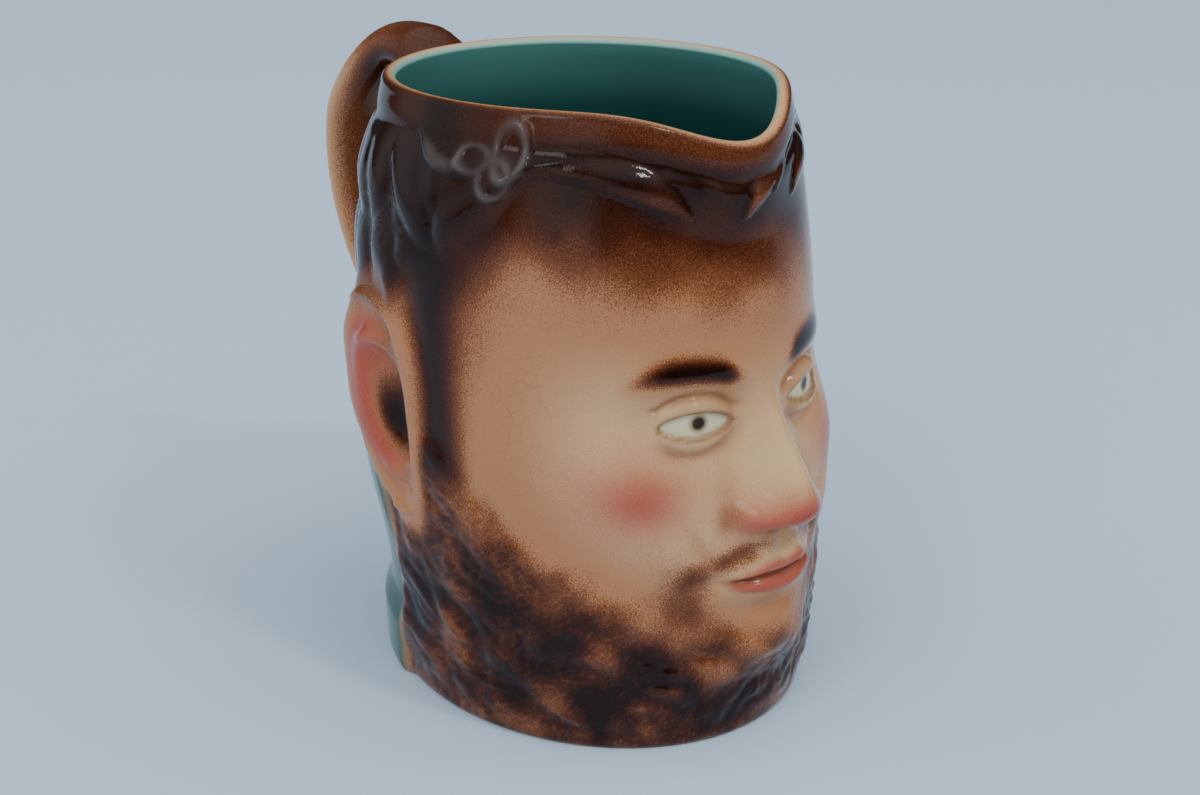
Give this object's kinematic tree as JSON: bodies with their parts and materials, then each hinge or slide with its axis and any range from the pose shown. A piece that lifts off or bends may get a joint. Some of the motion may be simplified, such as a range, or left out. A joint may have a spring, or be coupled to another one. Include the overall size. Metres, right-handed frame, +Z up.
{
  "type": "toby jug",
  "caption": "Glazed earthenware jug shaped as a bearded man's head, with an open crown, a pouring lip over the forehead and a loop handle behind.",
  "frame": {"origin": "middle of the foot, on the surface that the jug stands on", "axes": "+Z up, the face looks along -Y, the handle lies along +Y, +X towards the head's own left ear"},
  "size_m": [0.1418, 0.2119, 0.1871],
  "materials": {
    "glazed_earthenware": "clear glossy glaze over brown, cream, rose and green sprayed colours, teal inside"
  },
  "bodies": {
    "root": {"face_jug": "glazed_earthenware"}
  },
  "joints": []
}
